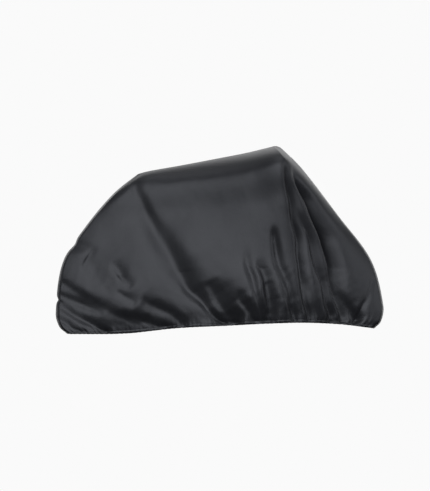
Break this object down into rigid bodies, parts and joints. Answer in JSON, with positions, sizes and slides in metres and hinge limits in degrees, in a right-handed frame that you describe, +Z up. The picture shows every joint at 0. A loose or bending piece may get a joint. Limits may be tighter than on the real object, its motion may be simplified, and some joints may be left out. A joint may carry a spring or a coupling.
{
  "type": "bicycle cover",
  "caption": "Fitted cloth cover hanging over a standing bicycle, with a centre seam, an elastic-drawn hem and drag folds, open underneath.",
  "frame": {"origin": "middle of the cover's box at the level of the hem's lowest edge, in the plane of the centre seam", "axes": "+X to the front of the bicycle, the handlebar end; +Y to the bicycle's left; +Z up"},
  "size_m": [1.8004, 0.622, 1.032],
  "materials": {
    "cover_cloth": "black coated nylon taffeta, plain weave with a faint sheen"
  },
  "bodies": {
    "root": {"panel_right": "cover_cloth", "panel_left": "cover_cloth"}
  },
  "joints": []
}
